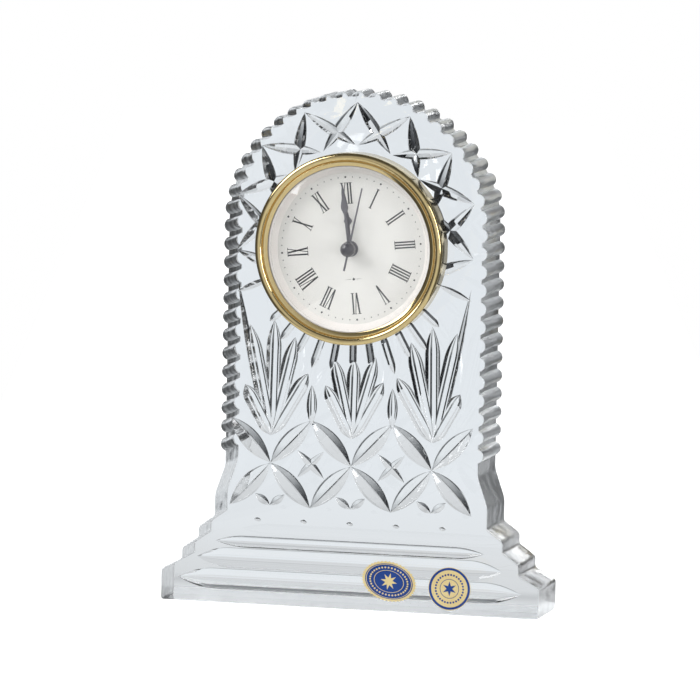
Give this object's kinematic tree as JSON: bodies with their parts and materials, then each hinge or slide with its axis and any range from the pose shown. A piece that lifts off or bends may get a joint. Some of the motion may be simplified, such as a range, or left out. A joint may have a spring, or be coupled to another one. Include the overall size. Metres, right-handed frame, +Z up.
{
  "type": "desk clock",
  "caption": "Press-in quartz clock with a roman dial in a cut-crystal arch on a stepped base; the clock slides out, and its hands, wheel train and setting knob turn together.",
  "frame": {"origin": "centre of the underside of the crystal's foot, half way through its thickness", "axes": "+Z up along the crystal's height, -Y out of the dial towards the viewer, +X to the viewer's right"},
  "size_m": [0.1408, 0.0432, 0.1876],
  "materials": {
    "crystal": "polished cut lead crystal",
    "blue_foil": "printed foil, satin",
    "gold_foil": "printed foil, satin",
    "gold_plate": "polished gold plate",
    "lens_glass": "clear mineral glass",
    "ring_white": "satin",
    "dial_enamel": "matt enamel",
    "ring_steel": "plain",
    "case_plastic": "moulded",
    "gasket_rubber": "moulded",
    "plate_plastic": "moulded",
    "bridge_plastic": "moulded",
    "screw_steel": "plain",
    "board": "solder mask",
    "potting": "epoxy",
    "can_metal": "bright",
    "stator_iron": "stamped sheet",
    "copper_wire": "enamelled copper",
    "magnet": "sintered",
    "wheel_plastic": "moulded",
    "cannon_brass": "turned",
    "knob_plastic": "moulded",
    "cell_steel": "nickel plate",
    "contact_brass": "sprung sheet",
    "hand_paint": "dark grey lacquer",
    "cap_paint": "glossy dark grey"
  },
  "bodies": {
    "crystal": {"crystal_body": "crystal", "oval_label": "blue_foil", "round_label": "gold_foil"},
    "clock": {"bezel": "gold_plate", "lens": "lens_glass", "dial_ring": "ring_white", "dial": "dial_enamel", "lock_ring": "ring_steel", "case_cup": "case_plastic", "grip_gasket": "gasket_rubber", "mainplate": "plate_plastic", "train_bridge": "bridge_plastic", "bridge_screws": "screw_steel", "circuit_board": "board", "ic_chip": "potting", "quartz_can": "can_metal", "stator": "stator_iron", "coil_core": "stator_iron", "coil_winding": "copper_wire", "button_cell": "cell_steel", "cell_contact_minus": "contact_brass", "cell_contact_plus": "contact_brass"},
    "seconds": {"seconds_wheel": "wheel_plastic", "second_hand": "hand_paint", "hand_cap": "cap_paint"},
    "third": {"third_wheel": "wheel_plastic"},
    "fifth": {"fifth_wheel": "wheel_plastic"},
    "rotor": {"rotor_magnet": "magnet", "rotor_pinion": "wheel_plastic"},
    "minutes": {"centre_wheel": "wheel_plastic", "cannon_pinion": "cannon_brass", "minute_hand": "hand_paint"},
    "minute_reducer": {"minute_wheel": "wheel_plastic"},
    "hours": {"hour_wheel": "wheel_plastic", "hour_hand": "hand_paint"},
    "setting": {"setting_shaft": "wheel_plastic", "setting_knob": "knob_plastic"},
    "hatch": {"battery_hatch": "knob_plastic"}
  },
  "joints": [
    {"name": "clock_slide", "type": "slide", "parent": "crystal", "child": "clock", "axis": [0, -1, 0], "range_m": [0, 0.035]},
    {"name": "second_hand_turn", "type": "hinge", "parent": "clock", "child": "seconds", "pos_m": [0, 0, 0.1315], "axis": [0, 1, 0], "continuous": true},
    {"name": "third_wheel_turn", "type": "hinge", "parent": "clock", "child": "third", "pos_m": [0.00895, 0, 0.13244], "axis": [0, 1, 0], "continuous": true},
    {"name": "fifth_wheel_turn", "type": "hinge", "parent": "clock", "child": "fifth", "pos_m": [-0.00647, 0, 0.13775], "axis": [0, 1, 0], "continuous": true},
    {"name": "rotor_turn", "type": "hinge", "parent": "clock", "child": "rotor", "pos_m": [-0.0132, 0, 0.13582], "axis": [0, 1, 0], "continuous": true},
    {"name": "minute_hand_turn", "type": "hinge", "parent": "clock", "child": "minutes", "pos_m": [0, 0, 0.1315], "axis": [0, 1, 0], "continuous": true},
    {"name": "minute_wheel_turn", "type": "hinge", "parent": "clock", "child": "minute_reducer", "pos_m": [-0.00244, 0, 0.12602], "axis": [0, 1, 0], "continuous": true},
    {"name": "hour_hand_turn", "type": "hinge", "parent": "clock", "child": "hours", "pos_m": [0, 0, 0.1315], "axis": [0, 1, 0], "continuous": true},
    {"name": "setting_knob_turn", "type": "hinge", "parent": "clock", "child": "setting", "pos_m": [-0.00488, 0, 0.12054], "axis": [0, 1, 0], "continuous": true},
    {"name": "battery_hatch_slide", "type": "slide", "parent": "clock", "child": "hatch", "axis": [0, 1, 0], "range_m": [0, 0.012]}
  ],
  "couplings": [
    {"joint": "third_wheel_turn", "follows": "second_hand_turn", "ratio": -0.125},
    {"joint": "fifth_wheel_turn", "follows": "second_hand_turn", "ratio": -5},
    {"joint": "rotor_turn", "follows": "second_hand_turn", "ratio": 30},
    {"joint": "minute_hand_turn", "follows": "second_hand_turn", "ratio": 0.016667},
    {"joint": "minute_wheel_turn", "follows": "second_hand_turn", "ratio": -0.0055556},
    {"joint": "hour_hand_turn", "follows": "second_hand_turn", "ratio": 0.0013889},
    {"joint": "setting_knob_turn", "follows": "second_hand_turn", "ratio": 0.016667}
  ]
}
